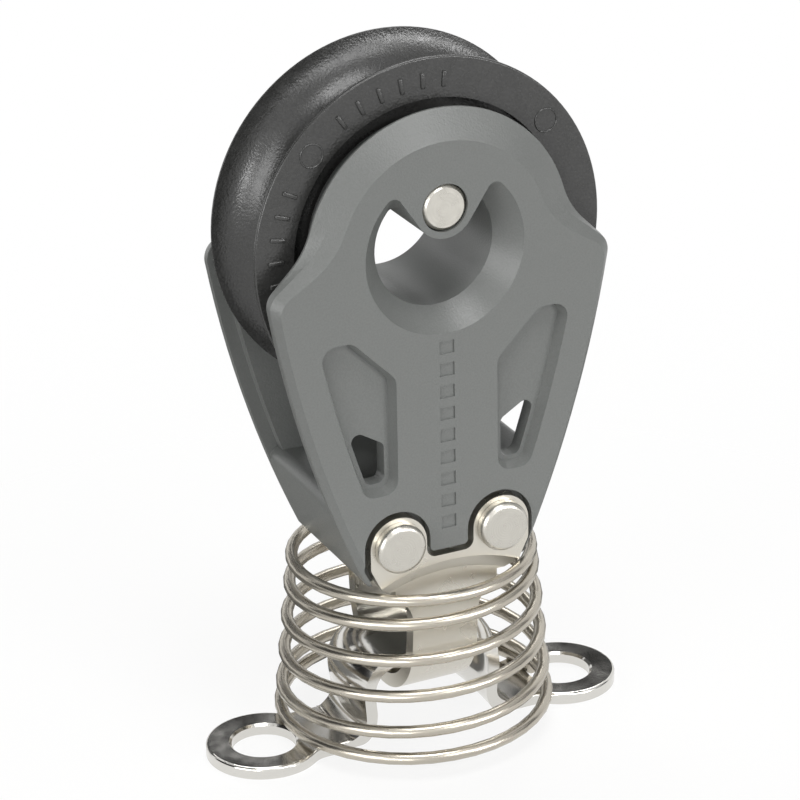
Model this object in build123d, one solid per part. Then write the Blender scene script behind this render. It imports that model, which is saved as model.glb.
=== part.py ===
"""Stand-up block: a single-sheave sailing block that a conical spring holds upright on its saddle.

Millimetres, +Z up. The origin is on the deck, midway between the two fixing holes of the saddle.
X runs through both holes, Y is the direction of the sheave's axle, and -Y is the front.
"""
from build123d import *
from math import acos, atan2, cos, hypot, pi, radians, sin, sqrt, tan
import os

# Sheave
SHEAVE_R = 15.0
SHEAVE_HALF_W = 4.45
GROOVE_DEPTH = 4.0
GROOVE_R = 4.15
RIM_ROUND = 0.14
FACE_RING_W = 3.3
WEB_WALL = 0.44
LINE_ROOM = 4.8

# Ball bearing
BALL_COUNT = 16
BALL_FILL = 0.924
BALL_PLAY = 0.04
TRACK_DEPTH = 0.35
BORE_WALL = 1.49
RACE_WALL = 0.85
RACE_FIT = 0.03
SIDE_PLAY = 0.3

# Hub tube, its flared mouth and the pin boss that hangs in it
HUB_WALL = 1.1
MOUTH_FLARE = 1.75
MOUTH_DEPTH = 2.1
LOBE_ROUND = 0.75
PIN_R = 1.88
PIN_PLAY = 0.09
PIN_DROP = 1.55
PIN_BOSS_WALL = 0.55
PIN_BOSS_FLARE = 34.0
PIN_CHAMFER = 0.25

# Cheeks, whose walls are thinner along the rim than in the middle
CHEEK_GAP = 0.4
CHEEK_WALL = 2.35
CHEEK_RIM_WALL = 1.3
CHEEK_RIM_W = 1.2
CHEEK_EDGE = 0.6
DISC_PLAY = 0.28
DISC_BEVEL_W = 2.4
DISC_LAND = 0.2
BOSS_STEP = 1.4
SHOULDER_IN = 0.12
SHOULDER_DROP = 1.9
SHOULDER_ROUND = 1.7
SHOULDER_SLOPE = 45.0
FACE_SLOPE = 32.0
NECK_ROUND = 7.0
FLANK_BOW = 0.92
FOOT_X = 7.05
FOOT_DROP = 3.6
FOOT_ROUND = 1.1
SPACER_RISE = 4.6
SPACER_ROUND = 1.0

# Pockets in the cheek faces, each with a slot through its floor
POCKET_DEPTH = 1.0
POCKET_DRAFT = 20.0
POCKET_IN_X = 4.45
POCKET_RIM = 3.05
POCKET_DROP = 6.2
POCKET_TOP_W = 2.85
POCKET_SLOPE = 45.0
POCKET_ROUND = 1.2
SLOT_INSET = 0.75
SLOT_STEP = 3.35
SLOT_SLOPE = 31.0
SLOT_ROUND = 0.65

# Column of plain bars sunk in each cheek's face
MARK_COUNT = 9
MARK_PITCH = 1.9
MARK_W = 1.3
MARK_H = 1.1
MARK_DEPTH = 0.15

# Head strap, bent from one strip, with an arched step up to two ears on each side
STRAP_T = 1.2
STRAP_PROUD = 0.2
STRAP_HALF_W = 2.95
STRAP_LOOP_R = 5.0
STRAP_LOOP_RISE = 1.85
STRAP_BEND_R = 3.0
STEP_DEPTH = 0.8
STEP_R = 15.4
STEP_W = 1.2
STEP_DROP = 2.2
LEG_DROP = 5.6
NECK_DROP = 6.6
EAR_R = 2.5
EAR_SIDE_DROP = 1.7
EAR_WEB_DROP = 1.6
EAR_ROUND = 0.8
EAR_CORNER_X = 6.2
EAR_CORNER_DROP = 3.55
EAR_CORNER_ROUND = 0.6
EAR_SLIT = 0.42
SEAT_PLAY = 0.05

# Rivets through the ears
RIVET_X = 4.6
RIVET_RISE = 9.9
RIVET_R = 1.5
RIVET_PLAY = 0.04
RIVET_HEAD_R = 2.12
RIVET_HEAD_H = 0.95
RIVET_HEAD_ROUND = 0.45
RIVET_HEAD_FIT = 0.03

# Saddle
SADDLE_T = 1.0
HOLE_SPACING = 27.8
HOLE_R = 2.7
HOLE_EDGE = 0.2
EYE_R = 4.85
EYE_EDGE_ROUND = 0.25
WAIST_HALF_W = 3.4
WAIST_ROUND = 2.0
ARCH_HALF_W = 4.0
ARCH_CROWN = 1.1
ARCH_EDGE_Z = 8.25
ARCH_LEG_X = 6.2
ARCH_LEAN = 0.6
ARCH_SHOULDER_R = 2.7
ARCH_FOOT_R = 2.0
ARCH_CROWN_SHARE = 0.65
ARCH_STATIONS = 13

# Stand-up spring
WIRE_R = 0.52
SPRING_FOOT_R = 11.35
SPRING_HEAD_PLAY = 0.3
SPRING_HEAD_DROP = 4.03
SPRING_TURNS = 6.15
SPRING_FOOT_RAMP = 1.54
SPRING_HEAD_RAMP = 1.49
SPRING_POINTS_PER_TURN = 8
SPRING_SEAT_GAP = 0.02

# Radii worked out from the sheave inwards
GROOVE_ROOT_R = SHEAVE_R - GROOVE_DEPTH
FACE_RING_R = SHEAVE_R - FACE_RING_W
SHEAVE_BORE_R = GROOVE_ROOT_R - BORE_WALL
BALL_SHARE = BALL_FILL * sin(pi / BALL_COUNT)
BALL_R = (SHEAVE_BORE_R + TRACK_DEPTH - BALL_PLAY) * BALL_SHARE / (1 + BALL_SHARE)
BALL_PITCH_R = SHEAVE_BORE_R + TRACK_DEPTH - BALL_PLAY - BALL_R
RACE_R = BALL_PITCH_R - BALL_R - BALL_PLAY + TRACK_DEPTH
RACE_BORE_R = RACE_R - RACE_WALL
HUB_R = RACE_BORE_R - RACE_FIT
HUB_BORE_R = HUB_R - HUB_WALL
MOUTH_R = HUB_BORE_R + MOUTH_FLARE
NOSE_R = PIN_R + PIN_PLAY + PIN_BOSS_WALL
CHEEK_DISC_R = FACE_RING_R - DISC_PLAY
CHEEK_FACE_R = CHEEK_DISC_R - DISC_BEVEL_W

# Heights worked out from the deck upwards
STRAP_LOOP_Z = ARCH_EDGE_Z + STRAP_LOOP_RISE
RIVET_Z = STRAP_LOOP_Z + RIVET_RISE
FOOT_Z = RIVET_Z - FOOT_DROP
SPACER_TOP_Z = RIVET_Z + SPACER_RISE
SHEAVE_Z = SPACER_TOP_Z + LINE_ROOM + SHEAVE_R
PIN_Z = SHEAVE_Z + HUB_BORE_R - PIN_DROP
SHOULDER_Z = SHEAVE_Z - SHOULDER_DROP
MARK_Z = (RIVET_Z + SHEAVE_Z - MOUTH_R) / 2
POCKET_BOTTOM_Z = SPACER_TOP_Z
POCKET_TOP_Z = SHEAVE_Z - POCKET_DROP
EAR_SIDE_Z = RIVET_Z - EAR_SIDE_DROP
EAR_WEB_Z = RIVET_Z - EAR_WEB_DROP
EAR_CORNER_Z = RIVET_Z - EAR_CORNER_DROP
STEP_Z = RIVET_Z - STEP_DROP - STEP_R
LEG_TOP_Z = RIVET_Z - LEG_DROP
SPRING_HEAD_Z = RIVET_Z - SPRING_HEAD_DROP

# Widths worked out from the middle outwards
GROOVE_AT_RING_Y = sqrt(GROOVE_R**2 - (GROOVE_ROOT_R + GROOVE_R - FACE_RING_R) ** 2)
SHEAVE_WEB_Y = GROOVE_AT_RING_Y + WEB_WALL
BOSS_Y = SHEAVE_WEB_Y + SIDE_PLAY
CHEEK_INNER_Y = SHEAVE_HALF_W + CHEEK_GAP
CHEEK_Y = CHEEK_INNER_Y + CHEEK_WALL
CHEEK_RIM_Y = CHEEK_Y - CHEEK_RIM_WALL
STRAP_Y = CHEEK_Y + STRAP_PROUD
STRAP_INNER_Y = STRAP_Y - STRAP_T
SHOULDER_X = SHEAVE_R - SHOULDER_IN
EYE_X = HOLE_SPACING / 2
SPRING_HEAD_R = hypot(EAR_CORNER_X, STRAP_Y) + SPRING_HEAD_PLAY
CLOSE = 0.01
BEYOND = 1.0


def slab(outline, y_from, y_to):
    """An outline drawn in X and Z, as a solid between two distances along Y."""
    return extrude(Plane.XZ.offset(-y_from) * outline, y_from - y_to)


def disc(radius, y_from, y_to, x=0.0, z=SHEAVE_Z):
    """A round solid along Y."""
    return Pos(x, (y_from + y_to) / 2, z) * Rot(90, 0, 0) * Cylinder(radius, abs(y_to - y_from))


def turned(profile):
    """A profile drawn as radius and Y, turned about the sheave's axle."""
    return Pos(0, 0, SHEAVE_Z) * Rot(90, 0, 0) * revolve(Plane.XZ * profile, Axis.Z)


def closed(*edges):
    """The face inside a closed run of edges."""
    return make_face(Curve() + list(edges))


def mirrored_x(shape):
    return mirror(shape, about=Plane.YZ)


def both_sides(shape):
    return shape + mirrored_x(shape)


def ball_track():
    """The room that the balls run in, as a profile to cut from each race."""
    return Pos(BALL_PITCH_R, 0) * Circle(BALL_R + BALL_PLAY)


def sheave():
    """The grooved wheel: recessed faces, round-edged rims and a ball track in its bore."""
    groove_centre_r = GROOVE_ROOT_R + GROOVE_R
    lip_y = sqrt(GROOVE_R**2 - (SHEAVE_R - groove_centre_r) ** 2)
    half = [
        (SHEAVE_BORE_R, SHEAVE_WEB_Y),
        (FACE_RING_R, SHEAVE_WEB_Y),
        (FACE_RING_R, SHEAVE_HALF_W),
        (SHEAVE_R, SHEAVE_HALF_W),
        (SHEAVE_R, lip_y),
    ]
    other = [(r, -y) for r, y in reversed(half)]
    profile = closed(
        Polyline(*half),
        ThreePointArc(half[-1], (GROOVE_ROOT_R, 0), other[0]),
        Polyline(*other),
        Line(other[-1], half[0]),
    )
    profile -= ball_track()
    rims = profile.vertices().filter_by(lambda v: hypot(v.X - SHEAVE_R, abs(v.Y) - SHEAVE_HALF_W) < CLOSE)
    return turned(fillet(rims, RIM_ROUND))


def bearing_race():
    """The hard inner ring, gripped between the hub bosses of the two cheeks."""
    profile = Pos((RACE_BORE_R + RACE_R) / 2, 0) * Rectangle(RACE_WALL, 2 * (BOSS_Y - RACE_FIT))
    return turned(profile - ball_track())


def ball(index):
    angle = 2 * pi * index / BALL_COUNT
    return Pos(BALL_PITCH_R * cos(angle), 0, SHEAVE_Z + BALL_PITCH_R * sin(angle)) * Sphere(BALL_R)


def hub_pin():
    pin = disc(PIN_R, -CHEEK_Y, CHEEK_Y, z=PIN_Z)
    return chamfer(pin.edges().filter_by(GeomType.CIRCLE), PIN_CHAMFER)


def boss_outline(reach):
    """The boss that hangs in the hub: round under the pin, with flanks that spread upwards."""
    flare = radians(PIN_BOSS_FLARE)
    touch = Vector(NOSE_R * cos(flare), PIN_Z - NOSE_R * sin(flare))
    top = touch + Vector(sin(flare), cos(flare)) * reach
    return closed(
        ThreePointArc((-touch.X, touch.Y), (0, PIN_Z - NOSE_R), touch),
        Polyline(touch, top, (-top.X, top.Y), (-touch.X, touch.Y)),
    )


def hub_opening(radius):
    """The way through the hub at one depth: a round hole less the pin boss."""
    hole = Pos(0, SHEAVE_Z) * Circle(radius) - boss_outline(2 * MOUTH_R)
    lobe_w = radius - NOSE_R
    return fillet(hole.vertices().group_by(Axis.Y)[-1], min(LOBE_ROUND, lobe_w / 3))


def cheek_outline(disc_r, slope, inset):
    """The cheek's outline in X and Z: a disc round the hub on a body with sloped shoulders."""
    hub = Vector(0, SHEAVE_Z)
    shoulder = Vector(SHOULDER_X - inset, SHOULDER_Z - inset / 2)
    uphill = Vector(-cos(radians(slope)), sin(radians(slope)))
    top = shoulder + uphill * (hub - shoulder).dot(uphill)
    foot = Vector(FOOT_X - inset, FOOT_Z)
    right = Curve() + [Line(top, shoulder), flank(shoulder, foot)]
    body = closed(
        *right.edges(),
        *mirrored_x(right).edges(),
        Line(foot, (-foot.X, foot.Y)),
        Line(top, (-top.X, top.Y)),
    )
    outline = body + Pos(hub) * Circle(disc_r)
    outline = fillet(outline.vertices().filter_by(lambda v: abs(v.Y - foot.Y) < CLOSE), FOOT_ROUND)
    outline = fillet(outline.vertices().filter_by(lambda v: abs(v.Y - shoulder.Y) < CLOSE), SHOULDER_ROUND)
    necks = outline.vertices().filter_by(lambda v: abs(hypot(v.X, v.Y - hub.Y) - disc_r) < CLOSE)
    return fillet(necks, NECK_ROUND)


def flank(shoulder, foot):
    """The long side of the cheek, slightly bowed outwards."""
    return SagittaArc(foot, shoulder, -FLANK_BOW)


def inner_flank(rim):
    """The right flank, moved in by the width of a rim."""
    return flank(Vector(SHOULDER_X - rim, SHOULDER_Z), Vector(FOOT_X - rim, FOOT_Z))


def beside_flank(rim, *corners):
    """A face with these corners, as far as it lies inside the right flank by the width of a rim."""
    side = inner_flank(rim)
    inside = closed(side, Polyline(side @ 1, (0, SHOULDER_Z), (0, FOOT_Z), side @ 0))
    return inside & closed(Polyline(*corners, close=True))


def rounded(outline, radius):
    """All corners rounded, by no more than half the width at the narrow foot."""
    foot_w = outline.edges().sort_by(Axis.Y)[0].length
    return fillet(outline.vertices(), min(radius, foot_w / 2))


def pocket_outline():
    rim_at_top = inner_flank(POCKET_RIM) @ ((POCKET_TOP_Z - FOOT_Z) / (SHOULDER_Z - FOOT_Z))
    top_x = rim_at_top.X - POCKET_TOP_W
    step_z = POCKET_TOP_Z - (top_x - POCKET_IN_X) * tan(radians(POCKET_SLOPE))
    outline = beside_flank(
        POCKET_RIM,
        (POCKET_IN_X, POCKET_BOTTOM_Z),
        (SHOULDER_X, POCKET_BOTTOM_Z),
        (SHOULDER_X, POCKET_TOP_Z),
        (top_x, POCKET_TOP_Z),
        (POCKET_IN_X, step_z),
    )
    return rounded(outline, POCKET_ROUND)


def slot_outline():
    left = POCKET_IN_X + SLOT_INSET
    bottom = POCKET_BOTTOM_Z + SLOT_INSET
    step_z = bottom + SLOT_STEP
    outline = beside_flank(
        POCKET_RIM + SLOT_INSET,
        (left, bottom),
        (SHOULDER_X, bottom),
        (SHOULDER_X, step_z + (SHOULDER_X - left) * tan(radians(SLOT_SLOPE))),
        (left, step_z),
    )
    return rounded(outline, SLOT_ROUND)


def ear_plate_outline():
    """The strap's outline from the front: two round-topped ears on a web that narrows to the neck."""
    low_z = STRAP_LOOP_Z - STRAP_LOOP_R - 2 * STRAP_T
    right = [
        (RIVET_X - EAR_R, EAR_WEB_Z),
        (RIVET_X - EAR_R, RIVET_Z),
        (RIVET_X + EAR_R, RIVET_Z),
        (RIVET_X + EAR_R, EAR_SIDE_Z),
        (EAR_CORNER_X, EAR_CORNER_Z),
        (STRAP_HALF_W, RIVET_Z - NECK_DROP),
        (STRAP_HALF_W, low_z),
    ]
    left = [(-x, z) for x, z in reversed(right)]
    plate = closed(Polyline(*right, *left, close=True))
    for x, z, radius in (
        (EAR_CORNER_X, EAR_CORNER_Z, EAR_CORNER_ROUND),
        (STRAP_HALF_W, RIVET_Z - NECK_DROP, STRAP_HALF_W),
        (RIVET_X + EAR_R, EAR_SIDE_Z, EAR_ROUND),
        (RIVET_X - EAR_R, EAR_WEB_Z, EAR_ROUND),
    ):
        corners = plate.vertices().filter_by(lambda v: hypot(abs(v.X) - x, v.Y - z) < CLOSE)
        plate = fillet(corners, radius)
    return plate + [Pos(x, RIVET_Z) * Circle(EAR_R) for x in (-RIVET_X, RIVET_X)]


def cheek_plate():
    """The cheek's wall, with a wide bevel round the disc that narrows to the edge of the flanks."""
    edge_y = CHEEK_Y - CHEEK_EDGE
    bevel_y = CHEEK_RIM_Y + DISC_LAND
    share = (edge_y - bevel_y) / (CHEEK_Y - bevel_y)
    disc_at_edge = CHEEK_DISC_R - DISC_BEVEL_W * share
    slope_at_edge = SHOULDER_SLOPE + (FACE_SLOPE - SHOULDER_SLOPE) * share
    outer = cheek_outline(CHEEK_DISC_R, SHOULDER_SLOPE, 0)
    levels = [
        Plane.XZ.offset(bevel_y) * outer,
        Plane.XZ.offset(edge_y) * cheek_outline(disc_at_edge, slope_at_edge, 0),
        Plane.XZ.offset(CHEEK_Y) * cheek_outline(CHEEK_FACE_R, FACE_SLOPE, CHEEK_EDGE),
    ]
    middle = cheek_outline(CHEEK_DISC_R - CHEEK_RIM_W, SHOULDER_SLOPE, CHEEK_RIM_W)
    wall = loft(levels, ruled=True) + slab(outer, -bevel_y, -CHEEK_RIM_Y)
    return wall + slab(middle, -CHEEK_RIM_Y - DISC_LAND, -CHEEK_INNER_Y)


def spacer():
    """The solid lower half of a cheek, which meets the other cheek under the sheave."""
    height = SPACER_TOP_Z - FOOT_Z
    band = Pos(0, FOOT_Z + height / 2) * Rectangle(2 * SHOULDER_X, height)
    outline = cheek_outline(CHEEK_DISC_R, SHOULDER_SLOPE, 0) & band
    outline = fillet(outline.vertices().group_by(Axis.Y)[-1], SPACER_ROUND)
    return slab(outline, -CHEEK_RIM_Y, 0)


def pocket():
    """What is cut from the front cheek's face on the right: a recess and the slot in its floor."""
    recess = extrude(Plane.XZ.offset(CHEEK_Y) * pocket_outline(), -POCKET_DEPTH, taper=POCKET_DRAFT)
    return recess + slab(slot_outline(), -CHEEK_Y, -CHEEK_INNER_Y + BEYOND)


def front_cheek():
    """One half of the moulded body, with its half of the hub tube and the pin boss."""
    cheek = cheek_plate() + spacer()
    cheek += disc(CHEEK_DISC_R - BOSS_STEP, -CHEEK_RIM_Y, -BOSS_Y)
    cheek += disc(HUB_R, -BOSS_Y - BEYOND, 0)
    throat_y = CHEEK_Y - MOUTH_DEPTH
    throat = hub_opening(HUB_BORE_R)
    mouth = hub_opening(MOUTH_R)
    cheek -= slab(throat, -throat_y, 0)
    cheek -= loft([Plane.XZ.offset(throat_y) * throat, Plane.XZ.offset(CHEEK_Y) * mouth], ruled=True)
    cheek -= disc(PIN_R + PIN_PLAY, -CHEEK_Y, 0, z=PIN_Z)
    cheek -= both_sides(pocket())
    for i in range(MARK_COUNT):
        z = MARK_Z + (i - (MARK_COUNT - 1) / 2) * MARK_PITCH
        cheek -= Pos(0, -CHEEK_Y, z) * Box(MARK_W, 2 * MARK_DEPTH, MARK_H)
    ear_seat = offset(ear_plate_outline(), EAR_SLIT, kind=Kind.ARC)
    cheek -= slab(ear_seat, -CHEEK_Y, -STRAP_INNER_Y + SEAT_PLAY)
    cheek -= disc(STEP_R + EAR_SLIT, -CHEEK_Y, -STRAP_INNER_Y + STEP_DEPTH + SEAT_PLAY, z=STEP_Z)
    for x in (-RIVET_X, RIVET_X):
        cheek -= disc(RIVET_R + RIVET_PLAY, -CHEEK_Y, 0, x, RIVET_Z)
    return cheek


def strap_route():
    """The middle of the strap's thickness in Y and Z: two legs, each tangent to the loop."""
    leg_y = STRAP_Y - STRAP_T / 2 - STEP_DEPTH
    loop_r = STRAP_LOOP_R + STRAP_T / 2
    rise = LEG_TOP_Z - STRAP_LOOP_Z
    turn = atan2(rise, leg_y) - acos(loop_r / hypot(rise, leg_y))
    touch = (-loop_r * cos(turn), STRAP_LOOP_Z + loop_r * sin(turn))
    front = FilletPolyline((-leg_y, RIVET_Z), (-leg_y, LEG_TOP_Z), touch, radius=STRAP_BEND_R)
    loop = ThreePointArc(touch, (0, STRAP_LOOP_Z - loop_r), (-touch[0], touch[1]))
    return Plane.YZ * Wire([*front.edges(), loop, *mirrored_x(front).edges()])


def stepped_plate():
    """The front ear plate's wall, uncut: a round step turned about an axis along Y."""
    reach = STEP_R + STEP_DROP + EAR_R + BEYOND
    outer = [
        (0, STRAP_Y - STEP_DEPTH),
        (STEP_R - STEP_W, STRAP_Y - STEP_DEPTH),
        (STEP_R, STRAP_Y),
        (reach, STRAP_Y),
    ]
    inner = [(r, y - STRAP_T) for r, y in reversed(outer)]
    profile = closed(Polyline(*outer, *inner, close=True))
    return Pos(0, 0, STEP_Z) * Rot(90, 0, 0) * revolve(Plane.XZ * profile, Axis.Z)


def head_strap():
    """One strip bent to a U under the saddle's arch, stepped out to an ear plate on each cheek."""
    route = strap_route()
    section = Plane(route @ 0, x_dir=(1, 0, 0), z_dir=route % 0) * Rectangle(2 * RIVET_X, STRAP_T)
    above = Pos(0, 0, LEG_TOP_Z + STRAP_T) * Box(
        4 * RIVET_X, 4 * STRAP_Y, 2 * RIVET_Z, align=(Align.CENTER, Align.CENTER, Align.MIN)
    )
    plate = stepped_plate() & above
    strip = sweep(section, path=route) - above
    outline = slab(ear_plate_outline(), -STRAP_Y - BEYOND, STRAP_Y + BEYOND)
    strap = (strip + plate + mirror(plate, about=Plane.XZ)) & outline
    for x in (-RIVET_X, RIVET_X):
        strap -= disc(RIVET_R + RIVET_PLAY, -STRAP_Y - BEYOND, STRAP_Y + BEYOND, x, RIVET_Z)
    return strap


def strap_rivet(side):
    """A rivet through both ears and both cheeks, with a low round head on each end."""
    head_y = STRAP_Y + RIVET_HEAD_H
    rivet = disc(RIVET_R, -STRAP_Y - SEAT_PLAY, STRAP_Y + SEAT_PLAY, side * RIVET_X, RIVET_Z)
    for end in (-1, 1):
        head = disc(RIVET_HEAD_R, end * (STRAP_Y + RIVET_HEAD_FIT), end * head_y, side * RIVET_X, RIVET_Z)
        rim = head.edges().filter_by(GeomType.CIRCLE).sort_by(Axis.Y)[-1 if end > 0 else 0]
        rivet += fillet(rim, RIVET_HEAD_ROUND)
    return rivet


def saddle_route():
    """The edge of the saddle's strip in X and Z, at half its thickness, from a foot up to the top."""
    deck_z = SADDLE_T / 2
    top_z = ARCH_EDGE_Z - SADDLE_T / 2
    low_x = ARCH_LEG_X - SADDLE_T / 2 - ARCH_LEAN / 2
    bends = FilletPolyline(
        (EYE_X, deck_z),
        (low_x, deck_z),
        (low_x + ARCH_LEAN, top_z),
        (0, top_z),
        radius=[ARCH_FOOT_R, ARCH_SHOULDER_R],
    )
    return Wire(bends.edges()[1:])


def saddle_section(route, share):
    """The strip's section at a share of the way up the arch: it widens and bulges outwards."""
    half_w = WAIST_HALF_W + (ARCH_HALF_W - WAIST_HALF_W) * sin(share * pi / 2)
    crown = ARCH_CROWN * sin(min(share / ARCH_CROWN_SHARE, 1) * pi / 2) ** 2
    half_t = SADDLE_T / 2
    section = Rectangle(2 * half_w, SADDLE_T)
    if crown > 0:
        outer = ThreePointArc((-half_w, half_t), (0, crown + half_t), (half_w, half_t))
        inner = ThreePointArc((half_w, -half_t), (0, crown - half_t), (-half_w, -half_t))
        section = closed(outer, Line(outer @ 1, inner @ 0), inner, Line(inner @ 1, outer @ 0))
    here = route @ share
    along = route % share
    return Plane((here.X, 0, here.Y), x_dir=(0, -1, 0), z_dir=(along.X, 0, along.Y)) * section


def saddle_foot(bend_x):
    """A flat foot: a round eye for a fixing screw, drawn in to a waist where the arch springs."""
    waist_l = EYE_X - bend_x
    waist = Pos(bend_x + waist_l / 2, 0) * Rectangle(waist_l, 2 * WAIST_HALF_W)
    foot = Pos(EYE_X, 0) * Circle(EYE_R) + waist
    joins = foot.vertices().filter_by(lambda v: abs(hypot(v.X - EYE_X, v.Y) - EYE_R) < CLOSE)
    plate = extrude(fillet(joins, WAIST_ROUND), SADDLE_T)
    rims = plate.edges().group_by(Axis.Z)[-1].filter_by(lambda e: (e @ 0.5).X > EYE_X)
    plate = fillet(rims, EYE_EDGE_ROUND)
    hole = Pos(EYE_X, 0, SADDLE_T / 2) * Cylinder(HOLE_R, 2 * SADDLE_T)
    sink = Pos(EYE_X, 0, SADDLE_T - HOLE_EDGE / 2) * Cone(HOLE_R, HOLE_R + HOLE_EDGE, HOLE_EDGE)
    return plate - hole - sink


def saddle():
    """The pressed deck plate: two eyes and a domed arch that the strap loops under."""
    route = saddle_route()
    sections = [saddle_section(route, i / (ARCH_STATIONS - 1)) for i in range(ARCH_STATIONS)]
    return both_sides(saddle_foot((route @ 0).X) + loft(sections))


def spring_height(turn):
    """How far the wire has climbed, as a share: it leaves the foot and meets the head gently."""
    left = SPRING_TURNS - turn
    climb = turn - SPRING_FOOT_RAMP / 2
    if turn < SPRING_FOOT_RAMP:
        climb = turn**2 / (2 * SPRING_FOOT_RAMP)
    if left < SPRING_HEAD_RAMP:
        climb -= (SPRING_HEAD_RAMP - left) ** 2 / (2 * SPRING_HEAD_RAMP)
    return climb / (SPRING_TURNS - (SPRING_FOOT_RAMP + SPRING_HEAD_RAMP) / 2)


def stand_up_spring():
    """A conical right-hand compression spring with closed ends, standing on the saddle's feet."""
    foot_z = SADDLE_T + WIRE_R + SPRING_SEAT_GAP
    points = []
    for i in range(round(SPRING_TURNS * SPRING_POINTS_PER_TURN) + 1):
        turn = i / SPRING_POINTS_PER_TURN
        share = spring_height(turn)
        angle = 2 * pi * turn
        r = SPRING_FOOT_R + (SPRING_HEAD_R - SPRING_FOOT_R) * share
        points.append((r * cos(angle), r * sin(angle), foot_z + (SPRING_HEAD_Z - foot_z) * share))
    wire = Spline(*points)
    return sweep(Plane(wire @ 0, z_dir=wire % 0) * Circle(WIRE_R), path=wire)


def main():
    os.makedirs("parts", exist_ok=True)
    front = front_cheek()
    parts = {
        "saddle": saddle(),
        "stand_up_spring": stand_up_spring(),
        "head_strap": head_strap(),
        "strap_rivet_left": strap_rivet(-1),
        "strap_rivet_right": strap_rivet(1),
        "front_cheek": front,
        "rear_cheek": mirror(front, about=Plane.XZ),
        "hub_pin": hub_pin(),
        "bearing_race": bearing_race(),
        "sheave": sheave(),
    }
    for index in range(BALL_COUNT):
        parts[f"bearing_ball_{index + 1:02d}"] = ball(index)
    for name, shape in parts.items():
        export_step(shape, os.path.join("parts", name + ".step"))


if __name__ == "__main__":
    main()
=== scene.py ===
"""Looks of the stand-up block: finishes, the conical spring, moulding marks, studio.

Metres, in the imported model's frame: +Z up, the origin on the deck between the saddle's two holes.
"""
from math import cos, pi, radians, sin

import bpy
from mathutils import Matrix, Vector


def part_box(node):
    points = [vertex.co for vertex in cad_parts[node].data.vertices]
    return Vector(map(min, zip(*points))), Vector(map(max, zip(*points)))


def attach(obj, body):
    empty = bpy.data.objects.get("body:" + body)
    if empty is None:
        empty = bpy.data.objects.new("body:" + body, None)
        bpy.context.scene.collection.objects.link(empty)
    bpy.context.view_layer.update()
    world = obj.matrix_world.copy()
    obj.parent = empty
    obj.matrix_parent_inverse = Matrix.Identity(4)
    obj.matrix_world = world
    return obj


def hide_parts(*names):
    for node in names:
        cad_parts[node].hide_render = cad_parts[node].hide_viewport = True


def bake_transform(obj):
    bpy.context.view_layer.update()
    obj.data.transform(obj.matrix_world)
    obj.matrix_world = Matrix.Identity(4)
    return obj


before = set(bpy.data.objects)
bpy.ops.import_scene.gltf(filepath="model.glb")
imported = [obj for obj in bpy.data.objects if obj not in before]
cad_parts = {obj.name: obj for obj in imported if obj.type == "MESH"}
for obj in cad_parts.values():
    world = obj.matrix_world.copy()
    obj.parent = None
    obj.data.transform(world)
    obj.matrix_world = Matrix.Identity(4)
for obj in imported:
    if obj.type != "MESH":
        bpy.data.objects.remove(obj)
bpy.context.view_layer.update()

bl_info = {
    "name": "Stand-up Block",
    "version": (1, 0, 0),
    "blender": (4, 5, 0),
    "location": "View3D > Sidebar > Block",
    "description": "Dresses the stand-up block and sets up its studio",
    "category": "Object",
}

MM = 0.001

# Axes of the rivets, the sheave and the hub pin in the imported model
RIVET_X = 4.6 * MM
RIVET_Z = 20.0 * MM
SHEAVE_Z = 44.4 * MM
PIN_Z = 48.0 * MM

# Marks on the sheave's ring, in degrees from +X towards +Z: ticks in two groups, and ejector rings
TICKS = (84, 92, 100, 108, 116, 124, 154, 162, 170, 178, 186)
EJECTORS = (39, 139)

# The spring's mesh: points to a turn, roundness of the wire, and how near points are merged
STEPS_PER_TURN = 40
WIRE_ROUNDNESS = 5
MERGE_WITHIN = 0.001 * MM

# Edges sharper than these aren't smoothed
WIRE_CREASE = radians(40)
MARK_CREASE = radians(50)

# Noise keeps mostly between these values; its finer detail has this share of the coarser
NOISE_LOW, NOISE_HIGH = 0.35, 0.65
NOISE_ROUGHNESS = 0.55

# The middle of the object. The lamps and cards aim at it, and stand at an azimuth and an elevation
# from it, which are counted as the camera's are
MIDDLE = Vector((0, 0, 0.03))

# As calibrated on the photo; the sensor's width is in millimetres
CAMERA_PLACE = (-104.699 * MM, -220.685 * MM, 134.902 * MM)
SENSOR_WIDTH = 36

# The floor lies a hair under the deck plane. It fades into the white room between two radii, and
# where it is seen it is mostly white, so that only a faint shadow stays
FLOOR_RADIUS = 0.45
FLOOR_DROP = -0.02 * MM
FADE_FROM, FADE_TO = 0.03, 0.12
SEEN_WHITE = 0.85

# Softboxes: azimuth and elevation in degrees, distance and size in metres, and power in watts
LAMPS = {
    "top": (-10, 72, 0.6, (0.3, 0.25), 1.6),
    "front": (14, 27, 0.6, (0.25, 0.22), 0.85),
    "side_left": (-66, 14, 0.6, (0.3, 0.3), 1.25),
    "side_right": (65, 30, 0.6, (0.3, 0.3), 0.2),
    "low_right": (32, 9, 0.55, (0.16, 0.1), 0.75),
    "low_left": (-38, 4, 0.55, (0.12, 0.08), 0.5),
    "rim": (150, 52, 0.6, (0.3, 0.3), 1.2),
    "behind": (200, 22, 0.6, (0.3, 0.3), 1.3),
}

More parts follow.
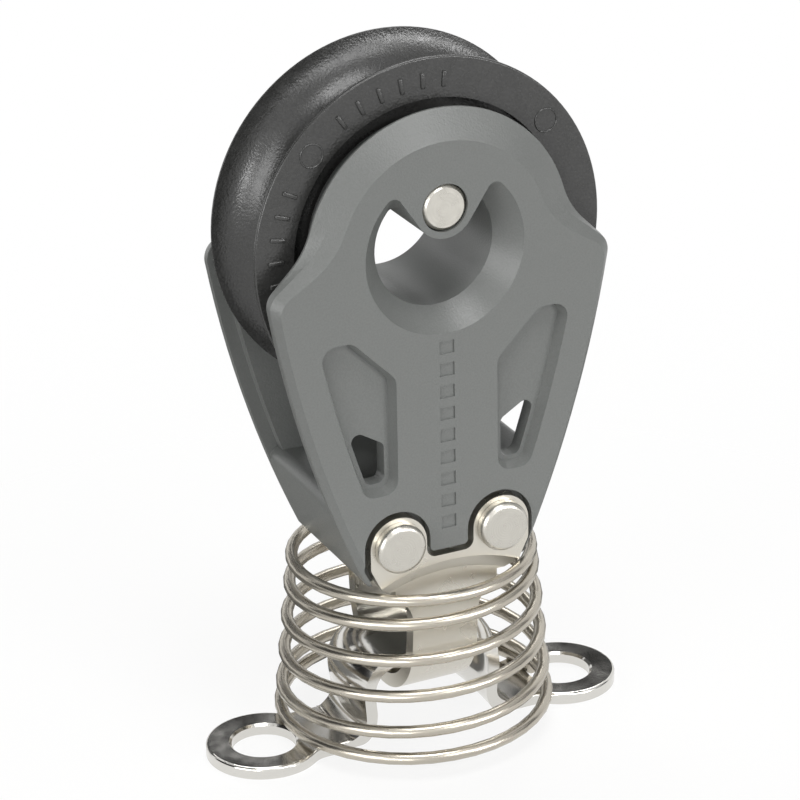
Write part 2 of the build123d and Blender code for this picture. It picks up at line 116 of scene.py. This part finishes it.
# Dark cards round the object that only reflections see: azimuth, elevation, distance, size, shade.
# The first three are the dark of a studio; the others darken one side of each eye, and the leg
FLAGS = {
    "flag_ceiling": (-25, 88, 0.9, (0.9, 0.8), "2A2A29"),
    "flag_left": (-105, 30, 0.9, (0.8, 0.8), "101012"),
    "flag_right": (70, 25, 0.9, (0.6, 0.7), "101012"),
    "flag_left_eye": (168, 27, 0.48, (0.16, 0.2), "101012"),
    "flag_right_eye": (144, 25, 0.49, (0.14, 0.2), "1E1E1E"),
    "flag_leg": (199, 24, 0.5, (0.34, 0.3), "1E1E1E"),
}

# A grey card that lies on the floor behind the object: place, turn, size and shade
CARD_BEHIND = ((-0.04, 0.08, -0.01 * MM), (0, 0, 0), (0.24, 0.14), "6E6E6C")


def linear(code):
    """An sRGB hex colour as the linear red, green and blue that a shader takes."""
    parts = [int(code[i : i + 2], 16) / 255 for i in (0, 2, 4)]
    return [c / 12.92 if c <= 0.04045 else ((c + 0.055) / 1.055) ** 2.4 for c in parts]


def colour_property(name, description, code):
    """A colour setting that starts from an sRGB hex value."""
    return bpy.props.FloatVectorProperty(
        name=name,
        description=description,
        subtype="COLOR",
        size=3,
        min=0,
        max=1,
        default=linear(code),
    )


def length_property(name, description, size_mm):
    """A length setting that starts from millimetres."""
    return bpy.props.FloatProperty(
        name=name, description=description, unit="LENGTH", precision=5, default=size_mm * MM
    )


def angle_property(name, description, degrees):
    """An angle setting that starts from degrees."""
    return bpy.props.FloatProperty(
        name=name, description=description, subtype="ANGLE", default=radians(degrees)
    )


def number_property(name, description, value):
    """A plain number setting."""
    return bpy.props.FloatProperty(name=name, description=description, default=value)


class FinishSettings(bpy.types.PropertyGroup):
    """Colours of the moulded and metal pieces."""

    nylon: colour_property("Cheek grey", "Glass-filled nylon of both cheeks", "747674")
    acetal: colour_property("Sheave grey", "Moulded acetal of the sheave", "363635")
    ball: colour_property("Ball white", "Ground acetal of the bearing balls", "E4E2DA")
    steel: colour_property("Polished steel", "Mirror-polished saddle", "D8D6D1")
    strip: colour_property("Satin steel", "Head strap and its ears", "CFCBC1")
    turned: colour_property("Turned steel", "Rivet heads and hub pin", "C5C2BA")
    wire: colour_property("Spring steel", "Drawn spring wire", "B8B2A6")


class SpringSettings(bpy.types.PropertyGroup):
    """Form of the conical stand-up spring."""

    wire: length_property("Wire diameter", "Thickness of the wire", 1.04)
    foot_radius: length_property("Foot radius", "Coil radius on the saddle", 11.35)
    head_radius: length_property("Head radius", "Coil radius under the cheeks", 9.954)
    head_height: length_property("Head height", "Height of the wire's upper end", 15.97)
    seat_height: length_property("Seat height", "Top of the saddle's feet, and some play", 1.02)
    turns: number_property("Turns", "Turns of wire, ends included", 6.15)
    foot_ramp: number_property("Foot ramp", "Turns that close the foot", 1.54)
    head_ramp: number_property("Head ramp", "Turns that close the head", 1.49)
    start: angle_property("Start", "Where the wire starts on the saddle", 0)


class MarkSettings(bpy.types.PropertyGroup):
    """Moulding marks on the sheave's face ring."""

    ring_radius: length_property("Ring radius", "Middle of the sheave's face ring", 13.2)
    rise: length_property("Rise", "How far a mark stands out of the face", 0.15)
    tick_length: length_property("Tick length", "Length of one tick along the radius", 1.3)
    tick_width: length_property("Tick width", "Width of one tick", 0.36)
    pad_radius: length_property("Ejector radius", "Radius of an ejector pin's witness ring", 0.95)


class StudioSettings(bpy.types.PropertyGroup):
    """Camera, lamps and floor."""

    azimuth: angle_property("Azimuth", "Camera's turn about the vertical", -25.214)
    elevation: angle_property("Elevation", "Camera's height over the horizon", 23.429)
    roll: angle_property("Roll", "Camera's turn about its own axis", -1.063)
    lens: number_property("Lens", "Focal length in mm for a 36 mm frame", 146.87)
    ambient: number_property("Ambient", "Light of the room on matt surfaces", 0.02)
    floor: colour_property("Floor", "Pale studio floor", "F7F7F5")


def add_node(tree, kind, values=(), **settings):
    """A shader node with its settings; values fill its sockets, with numbers or other outputs."""
    made = tree.nodes.new(kind)
    for name, value in settings.items():
        setattr(made, name, value)
    for socket, value in dict(values).items():
        if isinstance(value, bpy.types.NodeSocket):
            tree.links.new(value, made.inputs[socket])
        else:
            made.inputs[socket].default_value = value
    return made


def start_finish(name, colour, metallic=0.0, roughness=0.5, specular=0.5):
    """A new material with its shader's all-over values; a texture may take over the roughness."""
    material = bpy.data.materials.new(name)
    material.use_nodes = True
    sockets = material.node_tree.nodes["Principled BSDF"].inputs
    sockets["Base Color"].default_value = (*colour, 1)
    sockets["Metallic"].default_value = metallic
    sockets["Roughness"].default_value = roughness
    sockets["Specular IOR Level"].default_value = specular
    return material


def emboss(material, height, depth_mm):
    """The pattern becomes relief of this depth."""
    tree = material.node_tree
    bump = add_node(tree, "ShaderNodeBump", {"Height": height, "Distance": depth_mm * MM})
    tree.links.new(bump.outputs["Normal"], tree.nodes["Principled BSDF"].inputs["Normal"])


def texture(material, size_mm, detail=2.0, stretch=(1, 1, 1), relief_mm=None, **spans):
    """Noise with grains of this size, fixed to the object.

    Spans are what its darker and lighter parts have: tint multiplies the base colour, and
    roughness replaces the all-over one. Returns the noise, for patterns that it breaks up.
    """
    tree = material.node_tree
    sockets = tree.nodes["Principled BSDF"].inputs
    place = add_node(tree, "ShaderNodeTexCoord").outputs["Object"]
    drawn = add_node(tree, "ShaderNodeMapping", {"Vector": place, "Scale": stretch})
    # A cell of noise holds one dark and one light grain
    values = {
        "Vector": drawn.outputs["Vector"],
        "Scale": 0.5 / (size_mm * MM),
        "Detail": detail,
        "Roughness": NOISE_ROUGHNESS,
    }
    noise = add_node(tree, "ShaderNodeTexNoise", values).outputs["Fac"]
    for part, (low, high) in spans.items():
        values = {
            "Value": noise,
            "From Min": NOISE_LOW,
            "From Max": NOISE_HIGH,
            "To Min": low,
            "To Max": high,
        }
        share = add_node(tree, "ShaderNodeMapRange", values).outputs["Result"]
        if part == "tint":
            values = {0: sockets["Base Color"].default_value[:3], "Scale": share}
            scaled = add_node(tree, "ShaderNodeVectorMath", values, operation="SCALE")
            tree.links.new(scaled.outputs["Vector"], sockets["Base Color"])
        else:
            tree.links.new(share, sockets["Roughness"])
    if relief_mm:
        emboss(material, noise, relief_mm)
    return noise


def glass_filled_nylon(colour):
    # Nylon with glass fibre, moulded in a spark-eroded tool: a dry grey that glints on slopes.
    # Its pits are some 0.03 mm wide, and are drawn at 0.08 mm to show at all
    material = start_finish("glass_filled_nylon", colour)
    spans = {"tint": (0.96, 1.04), "roughness": (0.3, 0.42)}
    texture(material, 0.08, detail=1.0, relief_mm=0.02, **spans)
    return material


def moulded_acetal(colour):
    # Acetal copolymer, moulded: near black, waxy, with a broken sheen from the tool's etching.
    # The etching is some 0.03 mm wide, and is drawn at 0.1 mm to show at all
    material = start_finish("moulded_acetal", colour, specular=0.62)
    texture(material, 0.1, detail=1.0, relief_mm=0.02, tint=(0.85, 1.15))
    texture(material, 0.5, roughness=(0.24, 0.32))
    return material


def polished_stainless(colour):
    # Pressed stainless, mirror-polished: clear reflections that wander with the pressing
    material = start_finish("polished_stainless", colour, metallic=1.0)
    texture(material, 1.2, roughness=(0.12, 0.2))
    texture(material, 5.0, detail=0.0, relief_mm=0.1)
    return material


def satin_strip(colour):
    # Rolled stainless strip, tumbled: a soft sheen, barely cloudy where the stones rubbed it
    material = start_finish("satin_strip", colour, metallic=1.0)
    texture(material, 1.5, roughness=(0.27, 0.3))
    return material


def turned_stainless(name, colour, centre_x, centre_z, ring_mm):
    # Stainless headed and faced on a lathe: fine rings round its axis catch light in a bow tie.
    # Real tool marks are about 0.1 mm apart, and are drawn two to three times as far apart to
    # show. The place is folded at the middle, so that left and right pieces have their own rings
    material = start_finish(name, colour, metallic=1.0)
    rough = texture(material, 0.35, roughness=(0.26, 0.36))
    tree = material.node_tree
    place = add_node(tree, "ShaderNodeTexCoord").outputs["Object"]
    flat = add_node(tree, "ShaderNodeVectorMath", {0: place, 1: (1, 0, 1)}, operation="MULTIPLY")
    values = {0: flat.outputs["Vector"]}
    folded = add_node(tree, "ShaderNodeVectorMath", values, operation="ABSOLUTE")
    values = {0: folded.outputs["Vector"], 1: (centre_x, 0, centre_z)}
    radius = add_node(tree, "ShaderNodeVectorMath", values, operation="DISTANCE").outputs["Value"]
    values = {0: radius, 1: 2 * pi / (ring_mm * MM)}
    turns = add_node(tree, "ShaderNodeMath", values, operation="MULTIPLY").outputs["Value"]
    rings = add_node(tree, "ShaderNodeMath", {0: turns}, operation="SINE").outputs["Value"]
    broken = add_node(tree, "ShaderNodeMath", {0: rings, 1: rough}, operation="MULTIPLY")
    emboss(material, broken.outputs["Value"], 0.003)
    return material


def drawn_wire(colour):
    # Spring wire, cold-drawn stainless: fine die lines run along it, under a thin drawing film.
    # Real lines are some 0.02 mm apart, and are drawn 0.1 mm apart to show. The wire runs nearly
    # level all round, so noise drawn out over the deck gives lines along it
    material = start_finish("drawn_wire", colour, metallic=1.0)
    spans = {"tint": (0.96, 1.03), "roughness": (0.25, 0.3)}
    texture(material, 0.1, detail=1.0, stretch=(0.03, 0.03, 1), relief_mm=0.0012, **spans)
    return material


def ground_steel(colour):
    # Hardened stainless ring, ground: an even grey sheen, a little uneven where the wheel ran.
    # The wheel's grit is some 0.05 mm, and is drawn at 0.1 mm to show
    material = start_finish("ground_steel", colour, metallic=1.0)
    texture(material, 0.1, roughness=(0.2, 0.32))
    return material


def ground_acetal(colour):
    # White acetal, tumble-ground to size: smooth and slightly waxy
    material = start_finish("ground_acetal", colour)
    texture(material, 0.4, roughness=(0.24, 0.34))
    return material


def dress(material, *nodes):
    """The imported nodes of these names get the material."""
    for name in nodes:
        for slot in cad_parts[name].material_slots:
            slot.material = material


class OBJECT_OT_block_finishes(bpy.types.Operator):
    """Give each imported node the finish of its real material"""

    bl_idname = "object.block_finishes"
    bl_label = "Finish the Packed Pieces"

    def execute(self, context):
        colours = context.scene.block_finish
        dress(glass_filled_nylon(colours.nylon), "front_cheek", "rear_cheek")
        dress(moulded_acetal(colours.acetal), "sheave")
        dress(polished_stainless(colours.steel), "saddle")
        dress(satin_strip(colours.strip), "head_strap")
        rivets = turned_stainless("headed_stainless", colours.turned, RIVET_X, RIVET_Z, 0.21)
        dress(rivets, "strap_rivet_left", "strap_rivet_right")
        dress(turned_stainless("faced_stainless", colours.turned, 0.0, PIN_Z, 0.3), "hub_pin")
        dress(ground_steel(colours.steel), "bearing_race")
        balls = [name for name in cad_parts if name.startswith("bearing_ball")]
        dress(ground_acetal(colours.ball), *balls)
        return {"FINISHED"}


def climb_share(turn, turns, foot_ramp, head_ramp):
    """How far the wire has climbed at this turn: it leaves the foot and meets the head gently."""
    left = turns - turn
    climb = turn - foot_ramp / 2
    if turn < foot_ramp:
        climb = turn**2 / (2 * foot_ramp)
    if left < head_ramp:
        climb -= (head_ramp - left) ** 2 / (2 * head_ramp)
    return climb / (turns - (foot_ramp + head_ramp) / 2)


def finish_mesh(name, material):
    """Names the active piece, puts its place in its mesh and gives it its material and slot."""
    piece = bpy.context.object
    piece.name = name
    piece.data.name = name
    bpy.ops.object.transform_apply(location=True, rotation=True, scale=True)
    piece.data.materials.clear()
    piece.data.materials.append(material)
    return piece


class OBJECT_OT_block_spring(bpy.types.Operator):
    """Coil the conical stand-up spring"""

    bl_idname = "object.block_spring"
    bl_label = "Coil the Spring"

    def execute(self, context):
        form = context.scene.block_spring
        foot_z = form.seat_height + form.wire / 2
        bpy.ops.object.select_all(action="DESELECT")
        bpy.ops.curve.primitive_nurbs_path_add()
        coil = context.object.data
        coil.splines.clear()
        path = coil.splines.new("POLY")
        path.points.add(round(form.turns * STEPS_PER_TURN))
        for index, point in enumerate(path.points):
            turn = index / STEPS_PER_TURN
            share = climb_share(turn, form.turns, form.foot_ramp, form.head_ramp)
            angle = form.start + 2 * pi * turn
            radius = form.foot_radius + (form.head_radius - form.foot_radius) * share
            height = foot_z + (form.head_height - foot_z) * share
            point.co = (radius * cos(angle), radius * sin(angle), height, 1)
        coil.bevel_depth = form.wire / 2
        coil.bevel_resolution = WIRE_ROUNDNESS
        coil.use_fill_caps = True
        bpy.ops.object.convert(target="MESH")
        bpy.ops.object.mode_set(mode="EDIT")
        bpy.ops.mesh.select_all(action="SELECT")
        bpy.ops.mesh.remove_doubles(threshold=MERGE_WITHIN)
        bpy.ops.mesh.normals_make_consistent(inside=False)
        bpy.ops.object.mode_set(mode="OBJECT")
        bpy.ops.object.shade_smooth_by_angle(angle=WIRE_CREASE)
        wire = drawn_wire(context.scene.block_finish.wire)
        spring = finish_mesh("spring_coil", wire)
        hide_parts("stand_up_spring")
        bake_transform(spring)
        return {"FINISHED"}


def about_axle(degrees):
    """The turn about the sheave's axle that takes +X towards +Z by this angle."""
    axle = Matrix.Translation((0, 0, SHEAVE_Z))
    return axle @ Matrix.Rotation(radians(-degrees), 4, "Y") @ axle.inverted()


def repeat_about_axle(name, material, angles):
    """The active mark, modelled at +X of the axle, goes to the first angle, copies to the rest."""
    first = bpy.context.object
    first.matrix_world = about_axle(angles[0]) @ first.matrix_world
    pieces = [finish_mesh(f"{name}_01", material)]
    for count, angle in enumerate(angles[1:], start=2):
        bpy.ops.object.select_all(action="DESELECT")
        bpy.context.view_layer.objects.active = first
        first.select_set(True)
        bpy.ops.object.duplicate(linked=False)
        bpy.context.object.matrix_world = about_axle(angle - angles[0])
        pieces.append(finish_mesh(f"{name}_{count:02d}", material))
    return pieces


class OBJECT_OT_block_marks(bpy.types.Operator):
    """Raise plain ticks and the ejector witness rings on the sheave's face"""

    bl_idname = "object.block_marks"
    bl_label = "Mark the Sheave"

    def execute(self, context):
        form = context.scene.block_marks
        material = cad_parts["sheave"].material_slots[0].material
        place = (form.ring_radius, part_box("sheave")[0][1], SHEAVE_Z)
        bpy.ops.object.select_all(action="DESELECT")
        bpy.ops.mesh.primitive_cube_add(size=1, location=place)
        context.object.scale = (form.tick_length, 2 * form.rise, form.tick_width)
        bpy.ops.object.transform_apply(location=False, rotation=False, scale=True)
        bpy.ops.object.mode_set(mode="EDIT")
        bpy.ops.mesh.select_all(action="SELECT")
        edge = form.rise * 0.6  # Leaves a flat on top
        bpy.ops.mesh.bevel(offset=edge, segments=3, affect="EDGES")
        bpy.ops.object.mode_set(mode="OBJECT")
        bpy.ops.object.shade_smooth_by_angle(angle=MARK_CREASE)
        ticks = repeat_about_axle("ring_tick", material, TICKS)
        bpy.ops.object.select_all(action="DESELECT")
        bpy.ops.mesh.primitive_torus_add(
            major_radius=form.pad_radius,
            minor_radius=form.rise / 2,
            major_segments=48,
            minor_segments=10,
            location=place,
            rotation=(pi / 2, 0, 0),
        )
        bpy.ops.object.shade_smooth()
        for piece in ticks + repeat_about_axle("ejector_ring", material, EJECTORS):
            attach(piece, "sheave_wheel")
        return {"FINISHED"}


def around(azimuth, elevation, distance):
    """The point at this azimuth and elevation, in degrees, and this distance from the middle."""
    a, e = radians(azimuth), radians(elevation)
    return Vector((sin(a) * cos(e), -cos(a) * cos(e), sin(e))) * distance + MIDDLE


def facing(place):
    """The turn that points a lamp or a card at the middle of the object."""
    return (MIDDLE - place).to_track_quat("-Z", "Y").to_euler()


def add_softbox(name, azimuth, elevation, distance, size, power):
    """An area lamp round the object, facing it."""
    place = around(azimuth, elevation, distance)
    bpy.ops.object.light_add(type="AREA", location=place, rotation=facing(place))
    lamp = bpy.context.object
    lamp.name = name
    lamp.data.shape = "RECTANGLE"
    lamp.data.size, lamp.data.size_y = size
    lamp.data.energy = power


def add_card(name, place, rotation, size, shade):
    """A card that only reflections see, for the dark bands of a studio in polished metal."""
    bpy.ops.mesh.primitive_plane_add(size=1, location=place, rotation=rotation)
    card = bpy.context.object
    card.name = name
    card.scale = (*size, 1)
    card.visible_camera = False
    card.visible_diffuse = False
    card.visible_shadow = False
    card.data.materials.append(start_finish(name + "_card", linear(shade), roughness=0.9))


def seen_directly(tree):
    """One where the camera, a reflection or a view through glass sees the surface, else nought."""
    ray = add_node(tree, "ShaderNodeLightPath").outputs
    seen = ray["Is Camera Ray"]
    for other in ("Is Glossy Ray", "Is Transmission Ray"):
        either = add_node(tree, "ShaderNodeMath", {0: seen, 1: ray[other]}, operation="MAXIMUM")
        seen = either.outputs["Value"]
    return seen


def floor_finish(colour):
    # Seamless paper: white, dead matt, fading into the white room beyond a faint shadow
    material = start_finish("seamless_paper", colour, roughness=0.9, specular=0.0)
    tree = material.node_tree
    matt = tree.nodes["Principled BSDF"].outputs["BSDF"]
    white = add_node(tree, "ShaderNodeEmission", {"Color": (1, 1, 1, 1)}).outputs["Emission"]
    values = {0: seen_directly(tree), 1: SEEN_WHITE}
    seen = add_node(tree, "ShaderNodeMath", values, operation="MULTIPLY").outputs["Value"]
    paper = add_node(tree, "ShaderNodeMixShader", {0: seen, 1: matt, 2: white}).outputs["Shader"]
    place = add_node(tree, "ShaderNodeTexCoord").outputs["Object"]
    reach = add_node(tree, "ShaderNodeVectorMath", {0: place}, operation="LENGTH").outputs["Value"]
    values = {"Value": reach, "From Min": FADE_FROM, "From Max": FADE_TO}
    fade = add_node(tree, "ShaderNodeMapRange", values, interpolation_type="SMOOTHSTEP")
    clear = add_node(tree, "ShaderNodeBsdfTransparent").outputs["BSDF"]
    values = {0: fade.outputs["Result"], 1: paper, 2: clear}
    mixed = add_node(tree, "ShaderNodeMixShader", values).outputs["Shader"]
    tree.links.new(mixed, tree.nodes["Material Output"].inputs["Surface"])
    return material


def white_room(ambient):
    """The world: a white for the camera and the metal, and a weaker light on matt surfaces."""
    world = bpy.context.scene.world or bpy.data.worlds.new("room")
    bpy.context.scene.world = world
    world.use_nodes = True
    tree = world.node_tree
    values = {"Value": seen_directly(tree), "To Min": ambient, "To Max": 1.0}
    strength = add_node(tree, "ShaderNodeMapRange", values).outputs["Result"]
    background = tree.nodes["Background"]
    background.inputs["Color"].default_value = (1, 1, 1, 1)
    tree.links.new(strength, background.inputs["Strength"])


class SCENE_OT_block_studio(bpy.types.Operator):
    """Set up the floor, the lamps, the dark cards, the white room and the camera"""

    bl_idname = "scene.block_studio"
    bl_label = "Set Up the Studio"

    def execute(self, context):
        form = context.scene.block_studio
        bpy.ops.object.select_all(action="DESELECT")
        bpy.ops.mesh.primitive_circle_add(
            vertices=96, radius=FLOOR_RADIUS, fill_type="NGON", location=(0, 0, FLOOR_DROP)
        )
        floor = context.object
        floor.name = "floor"
        floor.data.materials.append(floor_finish(form.floor))
        for name, lamp in LAMPS.items():
            add_softbox(name, *lamp)
        for name, (azimuth, elevation, distance, size, shade) in FLAGS.items():
            place = around(azimuth, elevation, distance)
            add_card(name, place, facing(place), size, shade)
        add_card("card_behind", *CARD_BEHIND)
        white_room(form.ambient)
        turn = Matrix.Rotation(form.azimuth, 3, "Z")
        tip = Matrix.Rotation(pi / 2 - form.elevation, 3, "X")
        roll = Matrix.Rotation(form.roll, 3, "Z")
        aim = (turn @ tip @ roll).to_euler()
        bpy.ops.object.camera_add(location=CAMERA_PLACE, rotation=aim)
        camera = context.object
        camera.data.sensor_width = SENSOR_WIDTH
        camera.data.lens = form.lens
        camera.data.clip_start = 0.01
        context.scene.camera = camera
        context.scene.view_settings.view_transform = "Standard"
        return {"FINISHED"}


class VIEW3D_PT_block(bpy.types.Panel):
    """The pieces and the studio, one button each"""

    bl_idname = "VIEW3D_PT_block"
    bl_label = "Stand-up Block"
    bl_space_type = "VIEW_3D"
    bl_region_type = "UI"
    bl_category = "Block"

    def draw(self, context):
        for group, (_, operator) in GROUPS.items():
            box = self.layout.box()
            settings = getattr(context.scene, group)
            for name in settings.bl_rna.properties.keys():
                if name not in ("name", "rna_type"):
                    box.prop(settings, name)
            box.operator(operator)


# The groups of settings that the scene holds, and the operator that reads each
GROUPS = {
    "block_finish": (FinishSettings, "object.block_finishes"),
    "block_spring": (SpringSettings, "object.block_spring"),
    "block_marks": (MarkSettings, "object.block_marks"),
    "block_studio": (StudioSettings, "scene.block_studio"),
}

CLASSES = (
    FinishSettings,
    SpringSettings,
    MarkSettings,
    StudioSettings,
    OBJECT_OT_block_finishes,
    OBJECT_OT_block_spring,
    OBJECT_OT_block_marks,
    SCENE_OT_block_studio,
    VIEW3D_PT_block,
)


def register():
    for cls in CLASSES:
        bpy.utils.register_class(cls)
    for name, (settings, _) in GROUPS.items():
        setattr(bpy.types.Scene, name, bpy.props.PointerProperty(type=settings))


def unregister():
    for name in GROUPS:
        delattr(bpy.types.Scene, name)
    for cls in reversed(CLASSES):
        bpy.utils.unregister_class(cls)


def main():
    register()
    bpy.ops.object.block_finishes()
    bpy.ops.object.block_spring()
    bpy.ops.object.block_marks()
    bpy.ops.scene.block_studio()


if __name__ == "__main__":
    main()
